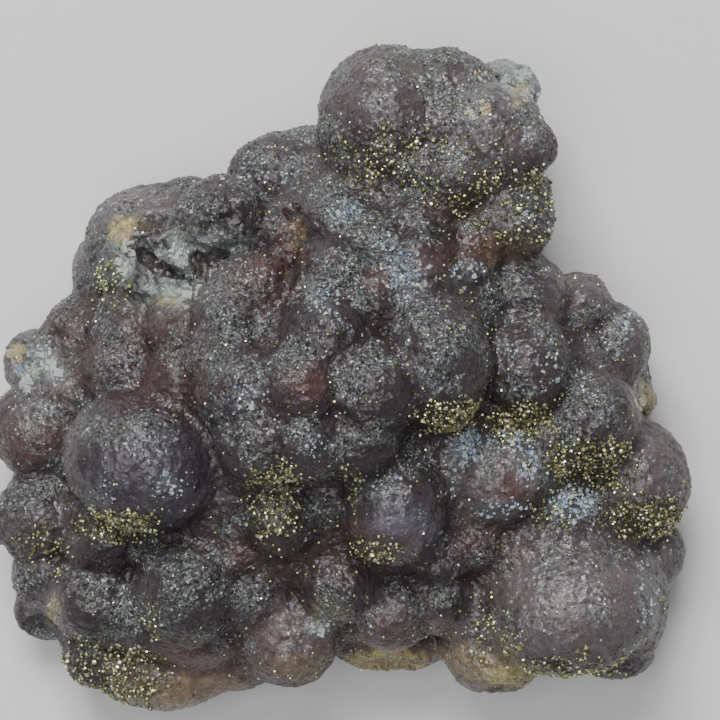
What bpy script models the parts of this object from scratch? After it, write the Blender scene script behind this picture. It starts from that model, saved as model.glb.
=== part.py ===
"""Fluorite and pyrite specimen: a grape-like mass of fluorite lobes with crusts of small pyrite crystals.

The specimen lies on its flat back, with its lumpy face up. +X runs along its longest side and +Y towards
its crown. Tables are in millimetres, and MM turns them into metres.
"""

import math
import random
from collections import namedtuple

import bmesh
import bpy
from mathutils import Matrix, Vector, noise
from mathutils.bvhtree import BVHTree

MM = 0.001

# The slab that cuts the back off flat, at height zero
SLAB_SIDE = 400
SLAB_DEPTH = 80

# How finely the lobes are fused, and the share of the fused triangles that is kept
FUSING_GRID = 0.9
KEPT_SHARE = 0.0325

# The small lumps on every lobe: their share of its radius and their width
LUMP_SHARE = 0.055
LUMP_WIDTH = 5.5
FINE_LUMP_SHARE = 0.02
FINE_LUMP_WIDTH = 2.4

# The lobes on the steep sides: how high each is against the one above it, how far it is tucked in
# towards the middle, how far it strays sideways, how deep it reaches, and its share of the upper one's size
FLANK_LEVEL = 0.4
FLANK_TUCK = 0.95
FLANK_STRAY = 1
FLANK_DEPTH = 4
FLANK_SMALLEST = 0.72
FLANK_LARGEST = 0.92

# A pyrite crust stays this far off the fluorite. Then come its own thickness and its crystals' heights.
CRUST_GAP = 0.3
CRUST_THICKNESS = 0.35
CRYSTAL_LOW = 0.1
CRYSTAL_HIGH = 0.7
CRYSTAL_TIP = 0.8
CRYSTAL_WIDTH = 3.2
LOWERING = 0.7
TIPPED_SHARE = 0.5

# A crust's faces look this much upwards or more. A crystal's tip stands where no edge is a deeper crease
# than the angle, and the crust ends where less than this share of its gap would be clear.
LEAST_UPWARD = -0.3
CREASE_ANGLE = math.radians(-12)
CLEAR_SHARE = 0.75

# x, y, z: the middle of a lobe. wide, long, high: its half sizes. turn: degrees about +Z
Lobe = namedtuple("Lobe", "x y z wide long high turn", defaults=(0,))

# What lies under the lobes and carries them
CORE = [
    Lobe(-4, -8, 0, 58, 47, 44),
    Lobe(-3, 1, 10, 26, 23, 45),
    Lobe(5, 26, 0, 26, 21, 44),
    Lobe(18.5, 43, 0, 18, 18.5, 41),
    Lobe(-29, 19, 0, 24, 17, 35),
    Lobe(38, -2, 0, 22.5, 21, 35),
    Lobe(37, -31, 0, 26, 28, 33),
    Lobe(-46, -14, 0, 17, 27, 26),
    Lobe(-31, -44, 0, 28, 16, 28),
    Lobe(2, -42, 0, 24, 13, 28),
]

CROWN = [
    Lobe(8.2, 47.3, 31, 13, 14.2, 15.5),
    Lobe(4, 39.5, 36, 6, 6, 7),
    Lobe(18.5, 46, 32, 7.5, 11, 12),
    Lobe(18, 52.5, 30, 11, 8.5, 12),
    Lobe(31, 53.5, 23, 6.5, 6, 8),
    Lobe(27.5, 43, 33, 10.5, 11.5, 13),
    Lobe(34.5, 42, 39, 5.5, 5.5, 6),
    Lobe(25.5, 48, 40, 5, 5, 6),
    Lobe(13, 38.5, 38, 6, 5.5, 6),
    Lobe(31, 28.5, 31, 9, 8.5, 12),
    Lobe(34.5, 34, 19, 5.5, 6, 8),
    Lobe(21, 36, 35, 9, 8.5, 11),
    Lobe(28, 35.5, 33, 8, 5, 9),
    Lobe(24, 25, 32, 9, 6, 10),
]

UPPER_LEFT = [
    Lobe(-12.5, 38.5, 20, 9.5, 7.5, 10),
    Lobe(-6, 42, 17, 6.5, 6, 8),
    Lobe(-17.5, 37.5, 15, 5, 4.5, 7),
    Lobe(-6, 36, 27, 5, 5, 6),
    Lobe(-22.5, 29, 32, 9.5, 8, 10),
    Lobe(-34.5, 20.5, 27, 11.5, 10, 12),
    Lobe(-43, 25, 17, 7, 10, 10, -12),
    Lobe(-37, 31, 18, 8, 5, 9, 15),
    Lobe(-29, 32.5, 20, 7.5, 5, 9),
    Lobe(-46.5, 17, 14, 6, 7, 9),
    Lobe(-9.5, 25.5, 32, 6.5, 7.5, 9),
]

LEFT = [
    Lobe(-59, 1.5, 15, 7, 6.5, 9),
    Lobe(-52, 8, 17, 6, 6, 8),
    Lobe(-39, 8, 26, 8.5, 8, 10),
    Lobe(-41, 0.5, 27, 8.5, 7.5, 10),
    Lobe(-29, 8, 33, 8, 7.5, 10),
    Lobe(-30, -1.5, 34, 7.5, 7.5, 9),
    Lobe(-51.5, -4, 20, 7, 7, 8),
    Lobe(-58.5, -11, 18, 9.5, 9.5, 10),
    Lobe(-59, -28, 16, 8.5, 9, 10),
    Lobe(-37.5, -17, 35, 15.5, 12.5, 14, -20),
    Lobe(-45, -31, 23, 8.5, 8, 10),
    Lobe(-57.5, -39, 13, 7, 6.5, 8),
]

CENTRE = [
    Lobe(-1, 27.5, 37, 8, 7, 10),
    Lobe(13, 27, 37, 7.5, 6.5, 9),
    Lobe(6, 24.5, 42, 6, 5.5, 7),
    Lobe(6, 13, 44, 7, 6.5, 10),
    Lobe(14, 22, 43, 6, 5, 8),
    Lobe(-17, 15.5, 40, 8, 6.5, 9),
    Lobe(-20, 10, 42, 7.5, 7, 9),
    Lobe(-5, 12.5, 49, 5, 4.5, 6),
    Lobe(-1, 18.5, 44, 8, 6.5, 9),
    Lobe(13, 16, 42, 8, 8, 11),
    Lobe(23, 19, 38, 5, 5, 7),
    Lobe(24, 12, 35, 6, 7, 9),
    Lobe(17, 3, 43, 10, 14, 15, 5),
    Lobe(-21.5, 2.5, 43, 7.5, 7.5, 9),
    Lobe(-18, -3.5, 46, 9.5, 9, 11),
    Lobe(-3, 6, 49, 8.5, 8, 10),
    Lobe(-7.5, -2.5, 50, 8.5, 8, 11),
    Lobe(4.5, -3, 49, 9, 9, 11),
    Lobe(-15.5, -12, 46, 8.5, 8.5, 10),
    Lobe(-6.5, -12.5, 48, 8, 8, 10),
    Lobe(2.5, -12.5, 46, 8, 7.5, 10),
    Lobe(-11.5, -26, 34, 9, 9, 11),
    Lobe(9, -25.5, 39, 10, 10.4, 12),
    Lobe(20.5, -12, 32, 6.5, 6, 9),
    Lobe(-22, -24, 29, 5, 6, 8),
]

RIGHT = [
    Lobe(33.5, 14, 30, 9, 7, 10),
    Lobe(34, 1, 34, 8.5, 10.5, 11, -8),
    Lobe(44.5, 12.5, 23, 7, 6.5, 9),
    Lobe(52.5, 5, 19, 6.5, 8, 10),
    Lobe(57.5, -5, 10, 3.5, 4, 6),
    Lobe(47, -9, 28, 9, 10, 11),
    Lobe(57, -20.5, 20, 9.5, 11.5, 11, 10),
    Lobe(62, -35, 12, 4.5, 6, 7),
    Lobe(29, -19.5, 30, 11.5, 10, 10),
    Lobe(21, -16, 32, 6, 9, 9),
    Lobe(39.5, -13.5, 29, 7, 7, 9),
    Lobe(42.5, -24.5, 22, 7, 6, 8),
    Lobe(38, -28, 21, 5, 4.5, 6),
    Lobe(50, -30, 19, 5, 4.5, 6),
    Lobe(24.5, -31.5, 27, 6.5, 6.5, 8),
    Lobe(43, -44.5, 24, 17, 13.5, 16, 8),
    Lobe(56.5, -44, 16, 6, 11.5, 10),
    Lobe(53, -54, 12, 7.5, 6, 8),
    Lobe(26, -45, 18, 9, 9, 10),
]

FOOT = [
    Lobe(-29.5, -41, 29, 10.5, 10.5, 11),
    Lobe(-47, -43, 20, 10, 9, 10),
    Lobe(-57.5, -46, 11, 6.5, 6.5, 7),
    Lobe(-47, -54.5, 13, 7.5, 7, 9),
    Lobe(-34, -58, 14, 13, 7.5, 10, 5),
    Lobe(-29, -50, 20, 10, 7, 10),
    Lobe(-38, -48, 20, 8, 7, 10),
    Lobe(-20, -56, 12, 7.5, 6, 9),
    Lobe(-20, -33.5, 28, 7, 6.5, 9),
    Lobe(-17.5, -41.5, 27, 7, 7, 8),
    Lobe(-1, -39.5, 30, 7.5, 7.5, 9),
    Lobe(-10.5, -50.5, 22, 10, 10, 10),
    Lobe(8.5, -45, 23, 9, 8.5, 10),
    Lobe(18, -43, 23, 7, 7, 9),
    Lobe(17.5, -35.5, 26, 6.5, 6.5, 8),
    Lobe(29, -54, 17, 10, 8, 10),
    Lobe(9, -53, 12, 12, 5, 8),
]

LOBES = [*CROWN, *UPPER_LEFT, *LEFT, *CENTRE, *RIGHT, *FOOT]

# Broken places, each a scoop out of the lobes: the ridges between neighbouring scoops are the fracture's
SCOOPS = [
    Lobe(-35.5, 20, 46.5, 10.5, 9, 11, -20),
    Lobe(-37, 20.5, 37.5, 2.4, 6, 4, 35),
    Lobe(-33.5, 20, 37.5, 2.2, 6.5, 4, 40),
    Lobe(-38.5, 29, 33, 6, 3, 4, 10),
    Lobe(-24, 25.5, 45.5, 7.5, 4.5, 6, 10),
    Lobe(-62, 3, 25, 4.5, 5, 5, 20),
    Lobe(-56.5, 4.5, 26, 4, 5, 5, -30),
    Lobe(31.5, 56, 32, 5, 4.5, 4, 30),
    Lobe(9, -59, 19, 10, 4.5, 6),
    Lobe(31, -63, 24, 9, 4, 7, -5),
    Lobe(-59, -51, 16, 5, 4.5, 6, 45),
]

# Where the pyrite crystals touch each other: the middle of each patch and how far it reaches
Patch = namedtuple("Patch", "name x y z wide long high")
PATCHES = [
    Patch("pyrite_crust_crown", 23, 31, 40, 9.5, 5, 12),
    Patch("pyrite_crust_under_dark_lobe", 19, -9.5, 40, 7.5, 4.5, 14),
    Patch("pyrite_crust_right_lobe", 34, -8, 34, 8, 4.5, 14),
    Patch("pyrite_crust_middle_pocket", -13, -21, 40, 6.5, 6.5, 14),
    Patch("pyrite_crust_right_shoulder", 48, -17, 28, 9, 5, 12),
    Patch("pyrite_crust_right_rim", 58, -27, 22, 8, 4.5, 10),
    Patch("pyrite_crust_egg_shadow", -45, -29, 30, 8, 4.5, 10),
    Patch("pyrite_crust_foot_left", -39, -55, 20, 8, 5, 10),
]


def clear_objects():
    """Remove what the file opened with."""
    for thing in list(bpy.data.objects):
        bpy.data.objects.remove(thing, do_unlink=True)


def new_collection(name):
    group = bpy.data.collections.new(name)
    bpy.context.scene.collection.children.link(group)
    return group


def new_object(name, shape, group):
    """Make a mesh object from a bmesh, and free the bmesh."""
    mesh = bpy.data.meshes.new(name)
    shape.to_mesh(mesh)
    shape.free()
    thing = bpy.data.objects.new(name, mesh)
    group.objects.link(thing)
    return thing


def mineral(name, colour, roughness, metallic):
    """A Principled material of one colour."""
    material = bpy.data.materials.new(name)
    material.use_nodes = True
    shader = material.node_tree.nodes["Principled BSDF"]
    shader.inputs["Base Color"].default_value = (*colour, 1)
    shader.inputs["Roughness"].default_value = roughness
    shader.inputs["Metallic"].default_value = metallic
    return material


def lump(place, seed):
    """How far the surface swells at a place, as a share of the lobe's radius."""
    coarse = noise.noise(place / LUMP_WIDTH + seed)
    fine = noise.noise(place / FINE_LUMP_WIDTH - seed)
    return 1 + LUMP_SHARE * coarse + FINE_LUMP_SHARE * fine


def add_lobe(shape, lobe, seed, lumpy=True, detail=4):
    """Add one ellipsoid to a bmesh, with small lumps on it."""
    ball = bmesh.ops.create_icosphere(shape, subdivisions=detail, radius=1)
    size = Matrix.Diagonal((lobe.wide, lobe.long, lobe.high, 1))
    turn = Matrix.Rotation(math.radians(lobe.turn), 4, "Z")
    middle = Vector((lobe.x, lobe.y, lobe.z))
    for vertex in ball["verts"]:
        place = size @ vertex.co
        if lumpy:
            place *= lump(place, seed)
        vertex.co = (turn @ place + middle) * MM


def flank_lobes():
    """A smaller lobe under each one, so that the steep sides are as lumpy as the face."""
    pick = random.Random(11)
    for lobe in LOBES:
        level = lobe.z * FLANK_LEVEL
        share = pick.uniform(FLANK_SMALLEST, FLANK_LARGEST)
        yield Lobe(
            lobe.x * FLANK_TUCK + pick.uniform(-FLANK_STRAY, FLANK_STRAY),
            lobe.y * FLANK_TUCK + pick.uniform(-FLANK_STRAY, FLANK_STRAY),
            level,
            lobe.wide * share,
            lobe.long * share,
            min(lobe.high, level + FLANK_DEPTH),
            lobe.turn,
        )


def fused_lobes(group):
    """Every lobe in one mesh, fused by a voxel grid and thinned."""
    shape = bmesh.new()
    for number, lobe in enumerate([*CORE, *LOBES, *flank_lobes()]):
        add_lobe(shape, lobe, Vector((number * 3.7, number * 1.9, number * 5.3)))
    mass = new_object("fluorite", shape, group)
    fuse = mass.modifiers.new("fuse", "REMESH")
    fuse.mode = "VOXEL"
    fuse.voxel_size = FUSING_GRID * MM
    thin = mass.modifiers.new("thin", "DECIMATE")
    thin.ratio = KEPT_SHARE
    return mass


def back_cutter(group):
    """A slab that cuts the specimen off flat at its back."""
    shape = bmesh.new()
    bmesh.ops.create_cube(shape, size=1)
    bmesh.ops.scale(shape, vec=Vector((SLAB_SIDE, SLAB_SIDE, SLAB_DEPTH)) * MM, verts=shape.verts)
    bmesh.ops.translate(shape, vec=Vector((0, 0, -SLAB_DEPTH / 2)) * MM, verts=shape.verts)
    return new_object("back_cutter", shape, group)


def scoop_cutters(group):
    """The scoops of the broken places."""
    cutters = []
    for number, scoop in enumerate(SCOOPS):
        shape = bmesh.new()
        add_lobe(shape, scoop, Vector((number, 0, 0)), lumpy=False, detail=3)
        cutters.append(new_object(f"scoop_cutter_{number}", shape, group))
    return cutters


def cut(thing, cutters):
    """Cut an object with every cutter, and apply all its modifiers."""
    for cutter in cutters:
        cutter.hide_render = True
        cutter.display_type = "WIRE"
        change = thing.modifiers.new("cut", "BOOLEAN")
        change.operation = "DIFFERENCE"
        change.solver = "EXACT"
        change.object = cutter
    bpy.context.view_layer.update()
    graph = bpy.context.evaluated_depsgraph_get()
    uncut = thing.data
    thing.data = bpy.data.meshes.new_from_object(thing.evaluated_get(graph))
    thing.modifiers.clear()
    bpy.data.meshes.remove(uncut)


def centre_over_origin(thing):
    """Move a mesh sideways so that the middle of its box is over the origin."""
    xs = [vertex.co.x for vertex in thing.data.vertices]
    ys = [vertex.co.y for vertex in thing.data.vertices]
    middle = Vector(((min(xs) + max(xs)) / 2, (min(ys) + max(ys)) / 2, 0))
    thing.data.transform(Matrix.Translation(-middle))


def in_patch(point, patch):
    """Whether a point is within the patch's ellipsoid."""
    across = (point.x / MM - patch.x) / patch.wide
    along = (point.y / MM - patch.y) / patch.long
    up = (point.z / MM - patch.z) / patch.high
    return across**2 + along**2 + up**2 < 1


def cramped(vertex, tree):
    """Whether a crust on this vertex would come too near to a neighbouring lobe."""
    floor = vertex.co + vertex.normal * CRUST_GAP * MM
    roof = floor + vertex.normal * CRUST_THICKNESS * MM
    room = min(tree.find_nearest(floor)[3], tree.find_nearest(roof)[3])
    return room < CRUST_GAP * CLEAR_SHARE * MM


def delete_faces(shape, faces):
    bmesh.ops.delete(shape, geom=list(faces), context="FACES")


def trim_ears(shape):
    """Delete the faces that stick out of a patch's outline by two of their edges."""
    ears = [face for face in shape.faces if sum(edge.is_boundary for edge in face.edges) > 1]
    delete_faces(shape, ears)


def part_pinched_faces(shape):
    """Delete faces until no two corners of the outline meet in one vertex."""
    while True:
        pinched = [v for v in shape.verts if sum(edge.is_boundary for edge in v.link_edges) > 2]
        if not pinched:
            return
        delete_faces(shape, {face for vertex in pinched for face in vertex.link_faces})


def keep_largest_island(shape):
    """Delete every face that isn't joined by an edge to the largest group of faces."""
    left = set(shape.faces)
    islands = []
    while left:
        island = set()
        front = [left.pop()]
        while front:
            face = front.pop()
            island.add(face)
            near = {other for edge in face.edges for other in edge.link_faces}
            front += near & left
            left -= near
        islands.append(island)
    kept = max(islands, key=len)
    delete_faces(shape, [face for face in shape.faces if face not in kept])


def patch_of_surface(fluorite, patch, tree):
    """The fluorite's faces on one patch, with each vertex's normal and each face's room for a crystal."""
    shape = bmesh.new()
    shape.from_mesh(fluorite.data)
    bmesh.ops.triangulate(shape, faces=shape.faces[:])
    shape.normal_update()
    normal = shape.verts.layers.float_vector.new("normal")
    roomy = shape.faces.layers.int.new("roomy")
    for vertex in shape.verts:
        vertex[normal] = vertex.normal
    for face in shape.faces:
        face[roomy] = all(edge.calc_face_angle_signed(0) > CREASE_ANGLE for edge in face.edges)
    outside = [
        face
        for face in shape.faces
        if not in_patch(face.calc_center_median(), patch)
        or face.normal.z < LEAST_UPWARD
        or any(cramped(vertex, tree) for vertex in face.verts)
    ]
    delete_faces(shape, outside)
    trim_ears(shape)
    part_pinched_faces(shape)
    keep_largest_island(shape)
    long_edges = [edge for edge in shape.edges if edge.calc_length() > CRYSTAL_WIDTH * MM]
    bmesh.ops.subdivide_edges(shape, edges=long_edges, cuts=1)
    bmesh.ops.triangulate(shape, faces=shape.faces[:])
    return shape, normal, roomy


def surface_tree(thing):
    """A search tree of an object's faces."""
    shape = bmesh.new()
    shape.from_mesh(thing.data)
    tree = BVHTree.FromBMesh(shape)
    shape.free()
    return tree


def raised_point(point, direction, height, tree):
    """The point moved up by a height in millimetres, or by less where a neighbouring lobe is too near."""
    while height > CRUST_THICKNESS / 2:
        moved = point + direction * height * MM
        if tree.find_nearest(moved)[3] > CRUST_GAP * MM:
            return moved
        height *= LOWERING
    return point + direction * height * MM


def crystal_crust(patch, fluorite, tree, group, seed):
    """A crust of crystals on one patch: its floor follows the fluorite, and its top is spiky."""
    pick = random.Random(seed)
    shape, normal, roomy = patch_of_surface(fluorite, patch, tree)
    for vertex in shape.verts:
        vertex.co += vertex[normal].normalized() * CRUST_GAP * MM
    raised = bmesh.ops.extrude_face_region(shape, geom=shape.faces[:], use_keep_orig=True)["geom"]
    for vertex in (item for item in raised if isinstance(item, bmesh.types.BMVert)):
        height = CRUST_THICKNESS + pick.uniform(CRYSTAL_LOW, CRYSTAL_HIGH)
        vertex.co = raised_point(vertex.co, vertex[normal].normalized(), height, tree)
    bmesh.ops.recalc_face_normals(shape, faces=shape.faces[:])
    tops = [item for item in raised if isinstance(item, bmesh.types.BMFace) and item[roomy]]
    tipped = [face for face in tops if pick.random() < TIPPED_SHARE]
    for tip in bmesh.ops.poke(shape, faces=tipped)["verts"]:
        tip.normal_update()
        tip.co += tip.normal * pick.uniform(CRYSTAL_LOW, CRYSTAL_TIP) * MM
    return new_object(patch.name, shape, group)


def main():
    clear_objects()
    specimen = new_collection("fluorite_and_pyrite_specimen")
    cutters = new_collection("cutters")
    fluorite = fused_lobes(specimen)
    cut(fluorite, [back_cutter(cutters), *scoop_cutters(cutters)])
    centre_over_origin(fluorite)
    fluorite.data.materials.append(mineral("fluorite", (0.13, 0.1, 0.125), 0.4, 0))
    pyrite = mineral("pyrite", (0.62, 0.52, 0.27), 0.3, 1)
    tree = surface_tree(fluorite)
    for seed, patch in enumerate(PATCHES):
        crust = crystal_crust(patch, fluorite, tree, specimen, seed)
        crust.data.materials.append(pyrite)


main()
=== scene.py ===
"""Looks of the fluorite and pyrite specimen: its druse, its broken places and its pyrite crystals.

Tables are in millimetres, seen from straight above at the height REFERENCE. MM turns them into metres.
"""

import math
from collections import namedtuple

import bmesh
import bpy
import numpy as np
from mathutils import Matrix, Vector, noise


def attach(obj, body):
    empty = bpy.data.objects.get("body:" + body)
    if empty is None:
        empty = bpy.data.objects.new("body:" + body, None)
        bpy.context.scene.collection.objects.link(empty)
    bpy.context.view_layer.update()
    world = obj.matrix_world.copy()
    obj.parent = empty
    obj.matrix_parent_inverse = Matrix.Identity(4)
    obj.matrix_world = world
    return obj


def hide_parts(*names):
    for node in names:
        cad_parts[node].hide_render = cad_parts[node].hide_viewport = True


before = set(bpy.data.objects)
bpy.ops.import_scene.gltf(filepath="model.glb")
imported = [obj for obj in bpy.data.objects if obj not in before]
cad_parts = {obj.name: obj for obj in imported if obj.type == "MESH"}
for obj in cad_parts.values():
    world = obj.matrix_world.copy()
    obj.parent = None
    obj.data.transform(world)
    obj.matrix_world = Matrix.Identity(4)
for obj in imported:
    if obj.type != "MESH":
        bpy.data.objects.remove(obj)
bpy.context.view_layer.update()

MM = 0.001
SEED = 7

# The camera looks straight down. PIXEL is what one pixel of the frame covers at the height REFERENCE.
CAMERA_HEIGHT = 600
REFERENCE = 25
PIXEL = 0.19
FRAME = 720
SENSOR = 36
SHIFT_ACROSS = 20 / FRAME
SHIFT_ALONG = 22 / FRAME

# Where the frame's origin lies in the tables
TABLE_ORIGIN = (-1.1, -1.7)

# The fine surface: its grid, and how the solid's facets are rounded before it
GRID = 0.73
MERGED = 0.002
CREASE_FROM = math.radians(14)
CREASE_FULL = math.radians(45)

# Rounds of evening out: the grid's steps, a crease between small lobes, one between large lobes, and the
# side that a lobe faces
STEP_ROUNDS = 2
SMALL_ROUNDS = 40
LARGE_ROUNDS = 100
FACING_ROUNDS = 12

# The share of a crease's depth that the druse fills
FILLED = 0.45

# What lies lower than this belongs to the flat back, and crystals stand higher than this
BACK = 0.3
LOWEST_CRYSTAL = 1.5

# Relief of the druse, as widths and heights. SUNKEN deepens its creases, and JITTER roughens all of it.
KNOB, KNOB_HEIGHT = 6.4, 0.85
BEAD, BEAD_HEIGHT = 2.6, 0.42
GRAIN, GRAIN_HEIGHT = 1.1, 0.14
WRINKLE, WRINKLE_HEIGHT = 2.4, 0.12
SUNKEN = 0.35
JITTER = 0.05

# The druse, with its painted silvery sheen, is thickest on the sides that face the window light this way,
# and a rim lower than this is thin and painted pale, as light shining through it
LIT_SIDE = Vector((-0.2, 0.6, 0.77)).normalized()
RIM_HEIGHT = 24
RIM_FADE = 16

# Half sizes of crystals: the usual one, how widely the others scatter, the smallest and the largest.
# sunk: how deep a crystal's middle is, as a share of its half size.
Halves = namedtuple("Halves", "usual spread least most sunk", defaults=(0,))
PYRITE = Halves(0.22, 0.32, 0.1, 0.52)
DRUSE = Halves(0.25, 0.3, 0.12, 0.5, 0.35)
CLEAR_CUBES = Halves(0.21, 0.35, 0.12, 0.6, 0.2)

# The usual half size of pyrite outside the crowds, and the one below which it's a plain cube
LOOSE_PYRITE = 0.155
PLAIN_PYRITE = 0.22

# The share of pyrite's larger crystals that are cubes, and how far any crystal is lifted
PYRITE_CUBES = 0.25
PYRITE_LIFT = (-0.1, 0.5)

# Pyrite crystals for each square millimetre: anywhere, in patches, under the lobes and in hollows. A crowd
# has its own amount times CROWD_DENSITY, and is one piece where it's denser than CROWD_EDGE.
PYRITE_ANYWHERE = 0.06
PYRITE_PATCHES = 0.24
PYRITE_UNDER = 0.6
PYRITE_HOLLOWS = 0.15
CROWD_DENSITY = 1.4
CROWD_EDGE = 0.15

# Other crystals for each square millimetre: in full druse, on smooth lobes and in clear places
DRUSE_DENSITY = 0.95
SMOOTH_DENSITY = 0.1
CLEAR_DENSITY = 3

# Crystals of half size 1: a pyritohedron's short half side, a cube's sides and its bevel
SHORT = 0.72
CUBE_SIDE = 1.7
CUBE_BEVEL = 0.18
PLAIN_SIDE = 1.6

# Noise and cells in the fluorite's material, as their number in a metre, and how far the cells are bent
WIDE_CLOUDS = 110
SWIRLS = 260
FOLDS = 330
SHARDS = 520
MOTTLES = 620
WEAVE = 900
FLAKES = 1500
GRAINS = 3200
BENT_BY = 0.0022

# Shares of the druse's grains that are silvery flakes, partly painted reflection, and bright sparks, which
# are painted glints
FLAKE_SHARE = 0.75
GLINT_SHARE = 0.03

# The mineral's own index of refraction, and the level of its reflections
FLUORITE_IOR = 1.434
FLUORITE_GLOSS = 0.9

# Lights in metres and watts, then the strength of the light from all round and half the floor's side
Light = namedtuple("Light", "name place side power")
LIGHTS = [
    Light("window", (-0.15, 0.6, 0.85), 0.5, 11.6),
    Light("above", (-0.2, -0.15, 1.05), 0.7, 5.5),
]
ALL_ROUND = 0.2
FLOOR_HALF = 3

# What the fine surface is like at each vertex. rest: before its relief. seen: in the tables' millimetres.
Surface = namedtuple("Surface", "rest seen normals hollow knobs smooth broken wander")

# turn: degrees about +Z
Zone = namedtuple("Zone", "name x y wide long amount turn", defaults=(0,))

# Fluorite that is paler than the rest
PALE = [
    Zone("big mauve lobe", 43.5, -44, 17, 14, 0.75),
    Zone("shell under the big lobe", 56, -45, 7, 12, 0.7),
    Zone("speckled lobe on the right", 57, -20.5, 9.5, 11.5, 0.55),
    Zone("upper right lobe", 52, 5.5, 7, 8.5, 0.45),
    Zone("shoulder beside it", 44.5, 14, 7, 6, 0.5),
    Zone("grey nub", 61.5, -35.5, 5.5, 6, 0.8),
    Zone("bluish lobe", 29, -20.5, 10, 9, 0.55),
    Zone("upper left lump", -12.5, 39.5, 10, 8, 0.15),
    Zone("crown left", 7.5, 54, 12, 10, 0.4),
    Zone("crown right", 29, 43, 10.5, 11, 0.45),
    Zone("crown foot", 32, 28, 9, 8, 0.3),
    Zone("crown chip", 31, 55.5, 6.5, 6, 0.9),
    Zone("mauve lobe on the left", -59, -11, 9.5, 9.5, 0.35),
    Zone("broken lobe on the left", -58.5, 2, 7, 7, 1),
    Zone("rim of the dish", -42, 31, 12, 5, 0.8),
    Zone("dish", -34, 20, 11.5, 10, 0.9),
    Zone("nub on the right edge", 57, -5, 3.5, 4, 1),
    Zone("lower left edge", -57, -46, 5, 6, 0.6),
    Zone("left foot", -34, -60, 15, 8, 1),
    Zone("middle foot", -10, -51, 10, 8, 0.6),
    Zone("right foot", 24, -53, 12, 8, 0.8),
    Zone("foot", 8, -49, 9, 8, 0.45),
    Zone("left side", -57, -29, 8, 8, 0.3),
    Zone("valley of the crown", 23, 52, 3, 8, 0.8),
    Zone("lower half of the sphere", 12, -30.5, 6.5, 4.5, 0.5),
]

# Slate violet, smooth lobes
SMOOTH = [
    Zone("egg", -36, -18.5, 13.5, 11, 1),
    Zone("sphere", 9.5, -26, 9.5, 9.5, 0.8),
    Zone("lower half of the sphere", 12, -30.5, 6.5, 4.5, 1),
    Zone("big mauve lobe", 42, -45, 15.5, 13.5, 0.85),
    Zone("upper right lobe", 52, 3, 6, 9, 0.6),
    Zone("shoulder beside it", 45, 12, 6, 6, 0.4),
    Zone("speckled lobe on the right", 58, -20, 8.5, 10, 0.5),
    Zone("mauve lobe on the left", -58, -10, 9, 9, 0.7),
    Zone("left foot", -29, -56, 12, 5, 0.9),
    Zone("middle foot", -10, -54, 11, 6, 0.6),
    Zone("right foot", 20, -50, 12, 8, 0.5),
    Zone("bluish lobe", 30, -20, 9, 8, 0.5),
    Zone("crown left", 8, 50, 12, 10, 0.35),
    Zone("crown right", 29, 43, 10, 11, 0.45),
]
VIOLET = [
    Zone("egg", -36, -19, 14, 10, 0.9),
    Zone("sphere", 11.5, -29.5, 8, 6.5, 1),
    Zone("dark lobe", 17, 3, 8, 12, 0.3),
    Zone("pocket", 43, -24.5, 5, 4, 1),
]

# Reddish brown fluorite
RED = [
    Zone("red lobe above the middle", -17, 16, 8, 6, 0.6),
    Zone("red hollow in the middle", -8, -2, 6, 5, 0.5),
    Zone("crease above the foot", -6, -34, 22, 6, 0.5),
    Zone("foot middle", -10, -53, 12, 7, 0.4),
    Zone("foot right", 14, -53, 16, 7, 0.4),
    Zone("under the bluish lobe", 28, -33, 8, 5, 0.5),
    Zone("left flank", -52, 4, 6, 10, 0.3),
    Zone("neck", 25, 24, 7, 4, 0.7),
    Zone("gap beside the upper left lump", -10, 26, 3, 5, 0.8),
    Zone("left of the middle", -36, 2, 12, 11, 0.4),
    Zone("left foot", -30, -57, 14, 6, 0.7),
    Zone("left of the egg", -60, -13, 6, 6, 0.5),
    Zone("dome in the bluish lobe", 32, -21.5, 4, 3, 0.7),
    Zone("spot in the middle", -7.5, -2.5, 4, 3, 1),
    Zone("spot above the middle", 6, 18, 3, 3, 0.8),
    Zone("under the crown", 19, 31, 6, 3, 0.8),
    Zone("beside the dish", -16, 19, 6, 4, 0.8),
    Zone("upper right of the middle", 17, 22, 4, 3, 0.7),
]

# The darkest lobes, and painted shade in the pocket and under the rim of the crown
DARK_AND_SHADE = [
    Zone("lobe beside the dish", -23, 31.5, 9, 6.5, 0.85),
    # Painted shadow under the crown's rim
    Zone("rim of the crown", 20, 33, 8, 4, 0.5),
    Zone("egg", -37, -17, 14, 11, 0.65),
    Zone("sphere", 8, -23, 8.5, 5, 0.45),
    Zone("dark lobe", 17.5, 3, 9, 13, 0.4),
    Zone("lobe in the middle pocket", -11.5, -27, 8.5, 8, 0.8),
    Zone("lobe under the egg", -29.5, -41, 10, 9, 0.7),
    Zone("lower left lobe", -45, -42, 9, 8, 0.6),
    Zone("lower middle", -8, -14, 20, 9, 0.5),
    Zone("top of the middle", 5, 27, 15, 6, 0.55),
    Zone("red lobe above the middle", -14, 12, 13, 9, 0.35),
    Zone("middle", -12, 3, 18, 12, 0.3),
    Zone("middle foot", -1, -39, 6.5, 6, 0.5),
    # Painted shade in the pocket
    Zone("pocket", 43.5, -24, 2.8, 2.4, 1),
    Zone("lower left of the egg", -42, -24.5, 4, 3, 0.9),
]

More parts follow.
